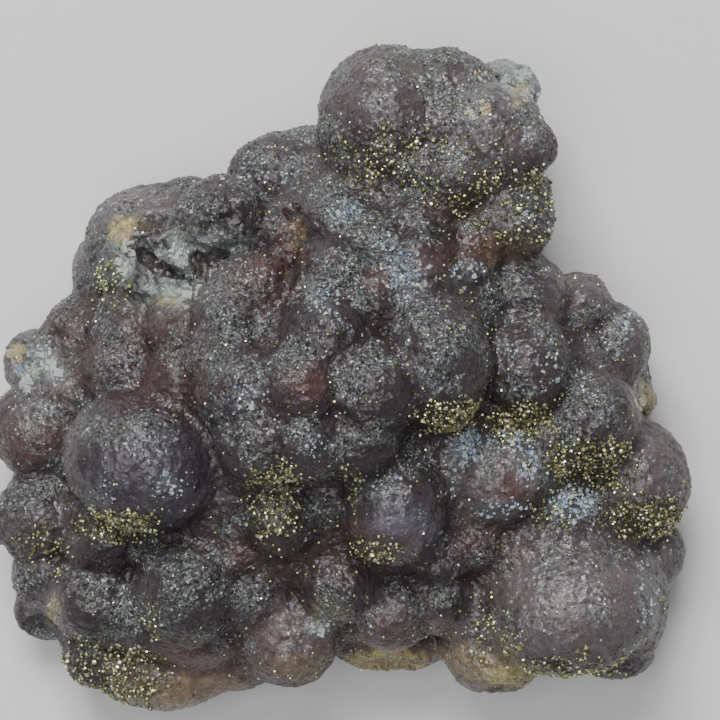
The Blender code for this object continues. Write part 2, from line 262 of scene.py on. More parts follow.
# Iron stain and cream edges
STAIN = [
    Zone("dish corner", -42.6, 27, 2.6, 3, 1),
    Zone("beside the dish corner", -40, 28.5, 2.5, 1.2, 0.6),
    Zone("under the dish", -34, 13.5, 3, 1, 0.5),
    Zone("left chip", -62.5, 4, 1.8, 2, 1),
    Zone("crown chip", 33, 53, 2.2, 2.6, 0.6),
    Zone("foot edge", 8, -54.5, 9, 2.4, 0.9),
    Zone("foot edge on the right", 33, -57.5, 8, 2.8, 0.9),
    Zone("lower left edge", -55.5, -45, 1.6, 2.6, 0.8),
    Zone("nub on the right edge", 57.5, -4, 1.8, 3, 0.7),
    Zone("recess beside the upper left lump", -9, 27, 2, 4, 0.4),
    Zone("glint in the foot", -3, -46, 4, 3, 0.3),
    Zone("left foot", -31, -61, 14, 4.5, 0.3),
    Zone("right foot", 24, -56, 10, 5, 0.35),
    Zone("middle foot", -8, -56, 8, 3, 0.2),
    Zone("under the crown", 31, 24, 6, 4, 0.15),
]

# Broken fluorite, clear and streaked, with no druse
BROKEN = [
    Zone("dish", -34.5, 20.5, 10.5, 9, 1),
    Zone("dish rim", -43, 22, 6, 9, 0.8),
    Zone("flat beside the dish", -24.5, 25, 7.5, 4.5, 0.8),
    Zone("left chip", -59, 3, 6, 5.5, 1),
    Zone("crown chip", 31.5, 55.5, 5, 5, 0.9),
    Zone("foot edge", 9, -56.5, 9, 3, 0.7),
    Zone("foot edge on the right", 32, -59, 9, 3, 0.6),
    Zone("lower left edge", -58.5, -49, 4, 4.5, 0.7),
]

# White parts of the broken places, and painted highlights where the egg and the foot glint
WHITE_AND_GLINTS = [
    Zone("left side of the dish", -42.4, 21.1, 2.4, 5, 0.8),
    Zone("bottom of the dish", -34.6, 15.4, 4.6, 2.9, 0.48),
    Zone("lower right of the dish", -28.8, 16, 2.6, 2, 0.45),
    Zone("ridge", -33.8, 21.6, 4.4, 0.9, 1, -45),
    Zone("triangle beside the ridge", -32.2, 23.2, 3.2, 2, 0.7, -45),
    Zone("flat beside the dish", -24, 25, 8.5, 3.6, 0.4),
    Zone("left chip", -58.5, 2, 4, 3.6, 0.5),
    Zone("crown chip", 32.5, 56, 6.5, 3.6, 0.9, -40),
    Zone("glint on the egg", -33.4, -21.2, 1.8, 2, 0.5),
    Zone("glint in the foot", -5, -48, 3, 2.4, 0.5),
]

# The number of the dish's raised ridge in the table of white parts and glints
RIDGE = 3

# Hollows, darkened with painted shade. Each is pushed in by as many millimetres.
HOLLOWS = [
    Zone("eye of the dish", -35.2, 20.4, 5, 2, 1.3, -28),
    Zone("shelf above the dish", -35.9, 28.3, 3.8, 2.1, 1.2, 10),
    Zone("hollow beside the dish", -27.8, 21, 1.8, 2.6, 1, 20),
    Zone("hole beside the upper left lump", -10, 30.5, 1.8, 1.8, 1.6),
]

# Groups of cleaved plates. half: half a group's side. sunk: how deep a plate's middle is, as a share of
# its own half side. PLATE_SHARE is a plate's half side as a share of its group's, and PLATE_SHAPE its
# sides as shares of that.
PLATES = 9
PLATE_SHARE = (0.25, 0.6)
PLATE_SHAPE = (0.5, 1.3)
Block = namedtuple("Block", "name x y half sunk tint")
BLOCKS = [
    Block("upper facet of the left chip", -57, 2.4, 2.3, 0.5, 0.1),
    Block("lower facet of the left chip", -61.2, -1.4, 2.4, 0.35, 0.3),
    Block("yellow facet of the left chip", -62.4, 3.8, 1.7, 0.4, 1),
    Block("facet between them", -59.5, 1, 1.5, 0.3, 0.5),
    Block("triangle of the dish", -32.4, 23.2, 2.1, 0.55, 0.2),
    Block("lower facet of the dish", -33.6, 14.8, 1.9, 0.8, 0.5),
    Block("left facet of the dish", -42, 20.4, 1.9, 0.6, 0.3),
    Block("upper left facet of the dish", -41, 24, 1.7, 0.6, 0.5),
    Block("right facet of the dish", -28.6, 16.6, 1.9, 0.6, 0.4),
    Block("pale patch of the crown", 26.6, 50, 1.6, 0.65, 0.8),
    Block("beside the pale patch", 23.9, 49.6, 1.2, 0.6, 0.8),
    Block("upper facet of the crown chip", 28, 57.5, 2.1, 0.5, 1),
    Block("facet of the crown chip", 31.4, 55.6, 1.9, 0.6, 0.2),
    Block("outer facet of the crown chip", 34, 56.5, 1.7, 0.5, 0.1),
    Block("right facet of the crown chip", 36.5, 52.5, 1.4, 0.5, 0.1),
    Block("lower facet of the crown chip", 34.4, 53, 1.4, 0.5, 0.6),
    Block("nub on the right edge", 56.4, -5.6, 1.7, 0.5, 0.7),
    # White plates put where the foot and the egg glint: painted highlights
    Block("glint in the foot", -4.4, -47.8, 1.8, 0.65, 0.2),
    Block("glint on the egg", -33, -21.4, 1.5, 0.8, 0.15),
]

# Clear, bluish crystals, and gleams on the knobs, where clear crystals and a painted bluish glow stand in
# for highlights
CLEAR_AND_GLEAMS = [
    Zone("pocket", 42.8, -25, 4.4, 3.6, 1),
    Zone("bluish lobe, upper left", 23, -13.5, 3, 4.5, 0.8),
    Zone("bluish lobe, top", 30, -13, 5, 2, 0.6),
    Zone("bluish lobe, right", 34.5, -18, 2.4, 4.5, 0.6),
    Zone("bluish lobe, bottom", 30, -26, 6, 2, 0.5),
    Zone("beside the dark lobe", 20.5, -18, 1.6, 5, 0.5),
    Zone("middle of the top", 11, 20, 6, 4, 0.3),
    Zone("above the dark lobe", 22, 19, 2, 3, 0.5),
    Zone("right lobe", 38, 3, 3, 6, 0.15),
    Zone("left chip", -59, 2, 4.5, 4, 0.3),
    Zone("upper left lump", -13, 38, 7, 5, 0.2),
    Zone("top of the sphere", 8, -21, 5, 3, 0.2),
    Zone("glint on the egg", -33.5, -21.5, 4, 2.4, 0.5),
    Zone("shell of the big lobe", 57, -40, 2.4, 9, 0.3),
    Zone("glint in the foot", -5, -48, 3, 2.4, 0.4),
    Zone("gleam above the middle", 0.2, 30, 3.2, 3, 0.4),
    Zone("gleam under the crown", 7, 25, 3.2, 2.2, 0.35),
    Zone("gleam on the dark lobe", 11.2, 17.3, 4, 3.6, 0.5),
    Zone("gleam on the red lobe", -4, 14, 3, 3.2, 0.4),
    Zone("gleam on the right lobe", 31.5, 5, 3, 2.2, 0.4),
    Zone("gleam on the crown foot", 35, 30.4, 2.2, 1.8, 0.45),
    Zone("gleam in the neck", 23.8, 19, 2.2, 2, 0.5),
    Zone("gleam on the upper right lobe", 53.6, 9, 2.4, 2.8, 0.4),
    Zone("gleam in the lower middle", -6, -14, 3, 2.8, 0.4),
    Zone("gleam beside the egg", -19, -5, 4, 3.2, 0.35),
]

# Where pyrite crystals crowd: the amount is crystals for each square millimetre. The CAD node that each
# crowd stands for comes first, or nothing.
Crowd = namedtuple("Crowd", "node x y wide long amount turn", defaults=(0,))
CROWDS = [
    Crowd("pyrite_crust_crown", 28.5, 33, 12, 9.5, 1.2),
    Crowd("pyrite_crust_under_dark_lobe", 20, -8, 6, 4, 2.8),
    Crowd("pyrite_crust_right_lobe", 34, -9.5, 7.5, 4.5, 3),
    Crowd("pyrite_crust_middle_pocket", -13.5, -24.5, 6, 9, 1.8),
    Crowd("pyrite_crust_right_shoulder", 46.5, -17.5, 10, 6.5, 1.9),
    Crowd("pyrite_crust_right_rim", 57, -27.5, 9.5, 4.5, 2.3),
    Crowd("pyrite_crust_egg_shadow", -44, -29, 9.5, 4, 2),
    Crowd("pyrite_crust_foot_left", -41, -57, 8, 5.5, 2),
    Crowd(None, 8.5, 40, 11, 7.5, 1.1),
    Crowd(None, 22, 41, 10, 7, 0.7),
    Crowd(None, -57, -33.5, 6, 6.5, 0.7),
    Crowd(None, -36.5, -46.5, 2.5, 4.5, 0.9),
    Crowd(None, 6, -33.5, 6, 3, 1.2),
    Crowd(None, 1, -21.5, 2.5, 6, 0.8),
    Crowd(None, 29, -49, 6, 8, 0.5),
    Crowd(None, 42.5, -55.5, 11, 3, 0.9),
    Crowd(None, -44, 17, 4, 6.5, 0.8),
    Crowd(None, 16, -13, 3, 3, 0.6),
    Crowd(None, 40, -28, 5, 4, 0.9),
    Crowd(None, -50, -55, 6, 6, 0.9),
    Crowd(None, 22, 14, 4, 9, 0.35),
]


def new_piece(name, mesh, material):
    """Link a mesh as a piece of the specimen."""
    piece = bpy.data.objects.new(name, mesh)
    bpy.context.scene.collection.objects.link(piece)
    mesh.materials.clear()
    mesh.materials.append(material)
    return piece


def evaluated_mesh(thing):
    """The mesh of an object with its modifiers applied."""
    bpy.context.view_layer.update()
    graph = bpy.context.evaluated_depsgraph_get()
    return bpy.data.meshes.new_from_object(thing.evaluated_get(graph))


def coordinates(mesh):
    places = np.empty(len(mesh.vertices) * 3)
    mesh.vertices.foreach_get("co", places)
    return places.reshape(-1, 3)


def vertex_normals(mesh):
    normals = np.empty(len(mesh.vertices) * 3)
    mesh.vertices.foreach_get("normal", normals)
    return normals.reshape(-1, 3)


def move_vertices(mesh, places):
    mesh.vertices.foreach_set("co", places.ravel())
    mesh.update()


def edge_ends(mesh):
    ends = np.empty(len(mesh.edges) * 2, dtype=int)
    mesh.edges.foreach_get("vertices", ends)
    return ends.reshape(-1, 2)


def smoothed(values, ends, rounds, share=0.5):
    """Values for each vertex, evened out with their neighbours'."""
    values = values.copy()
    count = np.bincount(ends.ravel(), minlength=len(values))[:, None]
    for _ in range(rounds):
        total = np.zeros_like(values)
        for column in range(values.shape[1]):
            total[:, column] += np.bincount(ends[:, 0], values[ends[:, 1], column], len(values))
            total[:, column] += np.bincount(ends[:, 1], values[ends[:, 0], column], len(values))
        values += share * (total / count - values)
    return values


def seen_from_above(places):
    """Where each place shows at the reference height, in millimetres."""
    places = places / MM
    near = (CAMERA_HEIGHT - REFERENCE) / (CAMERA_HEIGHT - places[:, 2])
    return places[:, :2] * near[:, None] + TABLE_ORIGIN


def zone_amount(seen, zones, wander, reach_from=1.15, fade=0.45):
    """How much of a property each place has: the largest of the zones, with soft, wandering edges."""
    amount = np.zeros(len(seen))
    for zone in zones:
        turn = math.radians(zone.turn)
        x, y = seen[:, 0] - zone.x, seen[:, 1] - zone.y
        across = (x * math.cos(turn) + y * math.sin(turn)) / zone.wide
        along = (y * math.cos(turn) - x * math.sin(turn)) / zone.long
        reach = np.sqrt(across**2 + along**2) + wander
        amount = np.maximum(amount, zone.amount * np.clip((reach_from - reach) / fade, 0, 1))
    return amount


def noise_at(places, width, seed):
    """Smooth noise of one width in millimetres for every place."""
    scale = 1 / (width * MM)
    offset = Vector((seed, seed * 1.7, -seed))
    return np.array([noise.noise(Vector(place) * scale + offset) for place in places])


def knobs_at(places, width, seed):
    """Round knobs with sharp creases between them, 1 on top of a knob and 0 where three meet."""
    scale = 1 / (width * MM)
    offset = Vector((seed, -seed, seed * 2.3))
    nearest = [noise.voronoi(Vector(place) * scale + offset)[0][0] for place in places]
    return 1 - np.clip(np.array(nearest), 0, 1) ** 2


def keep_flat_back(places, rest):
    """Put the vertices of the flat back, and those pushed under it, back on height zero."""
    places[rest[:, 2] < BACK * MM, 2] = 0
    places[:, 2] = np.maximum(places[:, 2], 0)


def add_attribute(mesh, name, values):
    layer = mesh.attributes.new(name, "FLOAT", "POINT")
    layer.data.foreach_set("value", np.asarray(values, dtype=np.float32))


def rounded_copy(node):
    """The CAD node with rounded facets and its creases kept, on a fine even grid."""
    shape = bmesh.new()
    shape.from_mesh(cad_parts[node].data)
    bmesh.ops.remove_doubles(shape, verts=shape.verts, dist=MERGED * MM)
    shape.normal_update()
    crease = shape.edges.layers.float.new("crease_edge")
    for edge in shape.edges:
        bend = -edge.calc_face_angle_signed(0)
        edge[crease] = min(max((bend - CREASE_FROM) / (CREASE_FULL - CREASE_FROM), 0), 1)
        if abs(edge.verts[0].co.z) + abs(edge.verts[1].co.z) < MERGED * MM:
            edge[crease] = 1
    mesh = bpy.data.meshes.new("rounded")
    shape.to_mesh(mesh)
    shape.free()
    copy = bpy.data.objects.new("rounded", mesh)
    bpy.context.scene.collection.objects.link(copy)
    rounding = copy.modifiers.new("rounding", "SUBSURF")
    rounding.levels = rounding.render_levels = 2
    grid = copy.modifiers.new("grid", "REMESH")
    grid.mode = "VOXEL"
    grid.voxel_size = GRID * MM
    fine = evaluated_mesh(copy)
    bpy.data.objects.remove(copy)
    bpy.data.meshes.remove(mesh)
    return fine


def finish_back(mesh):
    """Make one face of the flat back's small ones, and break the rest into triangles."""
    shape = bmesh.new()
    shape.from_mesh(mesh)
    flat = [face for face in shape.faces if all(vertex.co.z < MERGED * MM for vertex in face.verts)]
    bmesh.ops.delete(shape, geom=flat, context="FACES")
    bmesh.ops.triangulate(shape, faces=shape.faces[:], quad_method="SHORT_EDGE")
    bmesh.ops.holes_fill(shape, edges=[edge for edge in shape.edges if edge.is_boundary], sides=0)
    shape.to_mesh(mesh)
    shape.free()


def druse_amount(at):
    """How thick the druse and its painted silvery sheen are: most on the upper sides of the knobs, which
    face the window light, least in the creases.
    """
    # The sides that face the window light get more druse, and with it more painted silvery sheen
    upper = np.clip(at.normals @ np.array(LIT_SIDE), 0, 1)
    patchy = noise_at(at.rest, 6.5, 41) + 0.5 * noise_at(at.rest, 2.2, 43)
    druse = 0.9 * upper + 1.9 * patchy + 0.7 * at.knobs - 0.9 * np.clip(at.hollow, 0, 1) - 0.3
    return np.clip(druse, 0, 1) * (1 - 0.6 * at.smooth) * (1 - 0.8 * at.broken)


def fracture_relief(rest, seen, broken):
    """Ridges and steps of the broken places, in millimetres, with the dish's hollows."""
    wander = 0.15 * noise_at(rest, 2, 51)
    pushed = zone_amount(seen, HOLLOWS, wander, 1.1, 0.5)
    ridge = zone_amount(seen, WHITE_AND_GLINTS[RIDGE : RIDGE + 1], wander, 1.3, 0.8)
    steps = 1 - np.abs(noise_at(rest, 3.2, 53)) * 3
    fibres = np.sin((seen[:, 0] + seen[:, 1]) * 2.6 + 5 * noise_at(rest, 3, 57))
    return broken * (0.5 * steps + 0.14 * fibres) + 0.9 * ridge - 0.8 * pushed


def druse_surface():
    """The fluorite's fine surface with its knobs, hollows and broken places."""
    mesh = rounded_copy("fluorite")
    ends = edge_ends(mesh)
    rest = smoothed(coordinates(mesh), ends, STEP_ROUNDS)
    move_vertices(mesh, rest)
    normals = vertex_normals(mesh)
    seen = seen_from_above(rest)
    wander = 0.3 * noise_at(rest, 5, 3) + 0.15 * noise_at(rest, 1.6, 9)
    smooth = zone_amount(seen, SMOOTH, wander)
    broken = zone_amount(seen, BROKEN, wander)
    even = smoothed(rest, ends, SMALL_ROUNDS)
    hollow = np.einsum("ij,ij->i", even - rest, normals) / MM
    depth = np.einsum("ij,ij->i", smoothed(even, ends, LARGE_ROUNDS) - rest, normals)
    rest = rest + normals * (FILLED * np.clip(depth, 0, None))[:, None]
    calm = 1 - 0.7 * np.maximum(smooth, broken)
    knobs = knobs_at(rest, KNOB, 11) - 0.6
    beads = knobs_at(rest, BEAD, 5) - 0.6
    wrinkles = 1 - 3 * np.abs(noise_at(rest, WRINKLE, 61))
    grain = noise_at(rest, GRAIN, 17)
    swell = calm * (KNOB_HEIGHT * knobs + BEAD_HEIGHT * beads) + GRAIN_HEIGHT * grain
    swell += WRINKLE_HEIGHT * wrinkles
    swell += fracture_relief(rest, seen, broken) - SUNKEN * np.clip(hollow, 0, 2)
    chance = np.random.default_rng(SEED)
    jitter = chance.normal(0, JITTER, rest.shape) * (0.5 + 0.5 * calm)[:, None]
    places = rest + (normals * swell[:, None] + jitter) * MM
    keep_flat_back(places, rest)
    move_vertices(mesh, places)
    paint(mesh, Surface(rest, seen, normals, hollow, knobs, smooth, broken, wander))
    finish_back(mesh)
    return mesh


def paint(mesh, at):
    """Write the amounts that the materials and the crystals read, as attributes of the fine surface."""
    low = np.clip((RIM_HEIGHT - at.rest[:, 2] / MM) / RIM_FADE, 0, 1)
    # Low, steep rims are painted pale, as light that shines through thin edges
    rim = low * (1 - at.normals[:, 2].clip(0, 1))
    upward = np.clip(3 * at.normals[:, 2] + 0.4, 0, 1)
    pushed = zone_amount(at.seen, HOLLOWS, 0.5 * at.wander, 1.1, 0.4)
    red = zone_amount(at.seen, RED, at.wander)
    crust = np.clip(0.6 * zone_amount(at.seen, CROWDS, at.wander), 0, 1)
    white = zone_amount(at.seen, WHITE_AND_GLINTS, 0.6 * at.wander) * (1 - pushed.clip(0, 1))
    # How sunken each place is; the fluorite's material paints shade in hollows and creases from it
    add_attribute(mesh, "hollow", np.clip(np.maximum(at.hollow / 1.4, pushed), -1, 1))
    add_attribute(mesh, "smooth", at.smooth)
    add_attribute(mesh, "broken", at.broken * upward)
    # pale: paler fluorite, and the painted glow of the low rims
    add_attribute(mesh, "pale", np.maximum(zone_amount(at.seen, PALE, at.wander), 0.75 * rim))
    add_attribute(mesh, "crust", crust)
    add_attribute(mesh, "druse", (1 - 0.6 * red) * (1 - 0.5 * crust) * druse_amount(at))
    add_attribute(mesh, "white", white * upward)
    add_attribute(mesh, "stain", zone_amount(at.seen, STAIN, at.wander) * upward)
    add_attribute(mesh, "red", red)
    for name, zones in (("violet", VIOLET), ("dark", DARK_AND_SHADE), ("clear", CLEAR_AND_GLEAMS)):
        add_attribute(mesh, name, zone_amount(at.seen, zones, at.wander))


def pyritohedron():
    """One pyrite crystal of half size 1, as arrays."""
    shape = bmesh.new()
    for a in (-1, 1):
        for b in (-1, 1):
            for c in (-1, 1):
                bmesh.ops.create_vert(shape, co=(a * SHORT, b * SHORT, c * SHORT))
            bmesh.ops.create_vert(shape, co=(0, a * SHORT / 2, b))
            bmesh.ops.create_vert(shape, co=(a * SHORT / 2, b, 0))
            bmesh.ops.create_vert(shape, co=(a, 0, b * SHORT / 2))
    bmesh.ops.convex_hull(shape, input=shape.verts[:])
    return arrays_of(shape)


def cube_crystal():
    """One cube with bevelled edges."""
    shape = bmesh.new()
    bmesh.ops.create_cube(shape, size=CUBE_SIDE)
    bmesh.ops.bevel(
        shape,
        geom=shape.edges[:],
        offset=CUBE_BEVEL,
        affect="EDGES",
        segments=1,
        profile=0.5,
        material=-1,
    )
    bmesh.ops.triangulate(shape, faces=shape.faces[:])
    return arrays_of(shape)


def plain_cube():
    """One sharp cube, for the smallest crystals."""
    shape = bmesh.new()
    bmesh.ops.create_cube(shape, size=PLAIN_SIDE)
    bmesh.ops.triangulate(shape, faces=shape.faces[:])
    return arrays_of(shape)


def arrays_of(shape):
    """A bmesh's vertices and triangles as arrays. It frees the bmesh."""
    shape.verts.index_update()
    verts = np.array([vertex.co for vertex in shape.verts])
    faces = np.array([[vertex.index for vertex in face.verts] for face in shape.faces])
    shape.free()
    return verts, faces


def random_turns(chance, count):
    """Random rotation matrices, from unit quaternions."""
    q = chance.normal(size=(count, 4))
    w, x, y, z = (q / np.linalg.norm(q, axis=1)[:, None]).T
    rows = [
        [1 - 2 * (y * y + z * z), 2 * (x * y - z * w), 2 * (x * z + y * w)],
        [2 * (x * y + z * w), 1 - 2 * (x * x + z * z), 2 * (y * z - x * w)],
        [2 * (x * z - y * w), 2 * (y * z + x * w), 1 - 2 * (x * x + y * y)],
    ]
    return np.array(rows).transpose(2, 0, 1)


def scattered_halves(chance, count, halves):
    """A half size in metres for each crystal."""
    sizes = halves.usual * chance.lognormal(0, halves.spread, count)
    return np.clip(sizes, halves.least, halves.most) * MM


def joined_crystals(name, template, spots, sizes, turns, values):
    """One mesh that holds a crystal at every spot. The values are attributes, one for each crystal."""
    verts, faces = template
    count = len(spots)
    scaled = verts[None] * sizes[:, None, None]
    placed = np.einsum("nij,nkj->nki", turns, scaled) + spots[:, None]
    corners = faces[None] + (np.arange(count) * len(verts))[:, None, None]
    mesh = bpy.data.meshes.new(name)
    mesh.from_pydata(placed.reshape(-1, 3), [], corners.reshape(-1, faces.shape[1]).tolist())
    mesh.update()
    for title, each in values.items():
        add_attribute(mesh, title, np.repeat(each, len(verts)))
    return mesh


class Ground:
    """The triangles of the dressed fluorite that crystals can stand on."""

    def __init__(self, mesh):
        mesh.calc_loop_triangles()
        corners = np.empty(len(mesh.loop_triangles) * 3, dtype=int)
        mesh.loop_triangles.foreach_get("vertices", corners)
        corners = corners.reshape(-1, 3)
        places = coordinates(mesh)
        a, b, c = (places[corners[:, i]] for i in range(3))
        cross = np.cross(b - a, c - a)
        size = np.linalg.norm(cross, axis=1)
        middle = (a + b + c) / 3
        kept = (size > 0) & (middle[:, 2] > LOWEST_CRYSTAL * MM)
        self.a, self.b, self.c = a[kept], b[kept], c[kept]
        self.area = size[kept] / 2 / MM**2
        self.normal = cross[kept] / size[kept, None]
        self.middle = middle[kept]
        self.seen = seen_from_above(self.middle)
        self.corners = corners[kept]
        even = smoothed(vertex_normals(mesh), edge_ends(mesh), FACING_ROUNDS)
        lobe = even[self.corners].mean(axis=1)
        self.lobe_normal = lobe / np.linalg.norm(lobe, axis=1)[:, None]
        self.mesh = mesh

    def attribute(self, name):
        values = np.empty(len(self.mesh.vertices), dtype=np.float32)
        self.mesh.attributes[name].data.foreach_get("value", values)
        return values[self.corners].mean(axis=1)

    def spots(self, chance, density):
        """Random places, as many for each square millimetre as the density says, and their faces."""
        counts = chance.poisson(density * self.area)
        face = np.repeat(np.arange(len(counts)), counts)
        u, v = chance.random((2, len(face)))
        over = u + v > 1
        u[over], v[over] = 1 - u[over], 1 - v[over]
        place = self.a[face] * (1 - u - v)[:, None]
        place = place + self.b[face] * u[:, None] + self.c[face] * v[:, None]
        return place, face


def pyrite_density(ground):
    """Pyrite crystals for each square millimetre on every face, and the crowd that each face is in."""
    down = np.clip(-ground.lobe_normal[:, 1], 0, 1)
    hollow = np.clip(ground.attribute("hollow"), 0, 1)
    patchy = np.clip(noise_at(ground.middle, 8, 23) * 2 + 0.45, 0, 1)
    rightward = np.clip((ground.seen[:, 0] + 65) / 100, 0.2, 1)
    facing = np.clip(ground.lobe_normal[:, 2] + 0.3, 0, 1)
    density = PYRITE_ANYWHERE + PYRITE_PATCHES * patchy * rightward
    density += PYRITE_UNDER * down**1.5 * patchy * rightward
    density += PYRITE_HOLLOWS * hollow
    density *= 1 - 0.75 * ground.attribute("smooth")
    density *= (1 - 0.85 * ground.attribute("broken")) * facing
    crowd = np.full(len(density), -1)
    wander = 0.35 * noise_at(ground.middle, 3.5, 31) + 0.2 * noise_at(ground.middle, 1.4, 33)
    for number, place in enumerate(CROWDS):
        across = (ground.seen[:, 0] - place.x) / place.wide
        along = (ground.seen[:, 1] - place.y) / place.long
        reach = np.sqrt(across**2 + along**2) + wander
        side = np.clip(0.75 + 0.5 * down - 0.6 * np.clip(ground.lobe_normal[:, 1], 0, 1), 0, 1)
        share = np.clip((1.1 - reach) / 0.5, 0, 1) * side * (ground.lobe_normal[:, 2] > -0.1)
        density = np.maximum(density, CROWD_DENSITY * place.amount * share)
        crowd[share > CROWD_EDGE] = number
    return density, crowd


def pyrite_crystals(ground, material):
    """A joined piece of crystals for each crust, and one of the loose crystals."""
    chance = np.random.default_rng(SEED + 1)
    density, crowd = pyrite_density(ground)
    spots, face = ground.spots(chance, density)
    crowd = crowd[face]
    usual = np.where(crowd < 0, LOOSE_PYRITE, PYRITE.usual)
    sizes = scattered_halves(chance, len(spots), PYRITE._replace(usual=usual))
    lift = chance.uniform(*PYRITE_LIFT, len(spots)) * sizes
    spots = spots + ground.normal[face] * lift[:, None]
    turns = random_turns(chance, len(spots))
    tint = chance.random(len(spots))
    cubes = chance.random(len(spots)) < PYRITE_CUBES
    templates = (pyritohedron(), cube_crystal(), plain_cube())
    kinds = np.where(sizes < PLAIN_PYRITE * MM, 2, cubes)
    nodes = [place.node for place in CROWDS]
    names = [name for name in nodes if name]
    for name in [*names, None]:
        numbers = [i for i, node in enumerate(nodes) if node == name]
        inside = np.isin(crowd, numbers)
        if name is None:
            inside |= crowd < 0
        parts = []
        for kind, template in enumerate(templates):
            chosen = inside & (kinds == kind)
            values = {"tint": tint[chosen]}
            some = (spots[chosen], sizes[chosen], turns[chosen])
            parts.append(joined_crystals("part", template, *some, values))
        title = name.replace("crust", "crystals") if name else "pyrite_dusting"
        piece = new_piece(title, joined(parts), material)
        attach(piece, "root")
        if name:
            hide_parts(name)


def druse_crystals(ground, material):
    """The largest of the druse's own small cubes, half sunk in it."""
    chance = np.random.default_rng(SEED + 2)
    facing = np.clip(ground.lobe_normal[:, 2] + 0.2, 0, 1)
    density = DRUSE_DENSITY * ground.attribute("druse") ** 1.3
    density = density + SMOOTH_DENSITY * ground.attribute("smooth")
    spots, face = ground.spots(chance, density * facing)
    sizes = scattered_halves(chance, len(spots), DRUSE)
    spots = spots - ground.normal[face] * (DRUSE.sunk * sizes)[:, None]
    names = "pale violet red dark stain hollow white clear druse broken crust"
    values = {name: ground.attribute(name)[face] for name in names.split()}
    values["facet"] = np.ones(len(spots))
    values["tint"] = chance.random(len(spots))
    turns = random_turns(chance, len(spots))
    mesh = joined_crystals("druse_crystals", plain_cube(), spots, sizes, turns, values)
    piece = new_piece("druse_crystals", mesh, material)
    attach(piece, "root")


def cleaved_blocks(ground, material):
    """Groups of cleaved plates whose faces lie the same way, in the broken places."""
    chance = np.random.default_rng(SEED + 4)
    spots, sizes, turns, tints = [], [], [], []
    for block, turn in zip(BLOCKS, random_turns(chance, len(BLOCKS))):
        for _ in range(PLATES):
            x, y = chance.normal((block.x, block.y), 0.5 * block.half)
            apart = np.hypot(ground.seen[:, 0] - x, ground.seen[:, 1] - y)
            near = np.flatnonzero(apart < apart.min() + 0.3)
            face = near[np.argmax(ground.middle[near, 2])]
            half = block.half * chance.uniform(*PLATE_SHARE)
            spots.append(ground.middle[face] - ground.lobe_normal[face] * block.sunk * half * MM)
            sizes.append(half * MM)
            turns.append(turn @ np.diag(chance.uniform(*PLATE_SHAPE, 3)))
            tints.append(np.clip(block.tint + chance.normal(0, 0.15), 0, 1))
    values = {"tint": np.array(tints)}
    every = (np.array(spots), np.array(sizes), np.array(turns))
    mesh = joined_crystals("cleaved_blocks", plain_cube(), *every, values)
    piece = new_piece("cleaved_blocks", mesh, material)
    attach(piece, "root")


def clear_crystals(ground, material):
    """Clear cubes in the pockets and on the broken places, and on the knobs' gleams, where they stand in
    for highlights.
    """
    chance = np.random.default_rng(SEED + 3)
    clear = ground.attribute("clear")
    facing = np.clip(ground.lobe_normal[:, 2] + 0.1, 0, 1)
    spots, face = ground.spots(chance, CLEAR_DENSITY * clear**1.4 * facing)
    sizes = scattered_halves(chance, len(spots), CLEAR_CUBES)
    spots = spots - ground.normal[face] * (CLEAR_CUBES.sunk * sizes)[:, None]
    turns = random_turns(chance, len(spots))
    values = {"tint": chance.random(len(spots))}
    mesh = joined_crystals("clear_crystals", plain_cube(), spots, sizes, turns, values)
    piece = new_piece("clear_crystals", mesh, material)
    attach(piece, "root")


def joined(parts):
    """Several meshes as one."""
    shape = bmesh.new()
    for part in parts:
        shape.from_mesh(part)
        bpy.data.meshes.remove(part)
    mesh = bpy.data.meshes.new("joined")
    shape.to_mesh(mesh)
    shape.free()
    return mesh


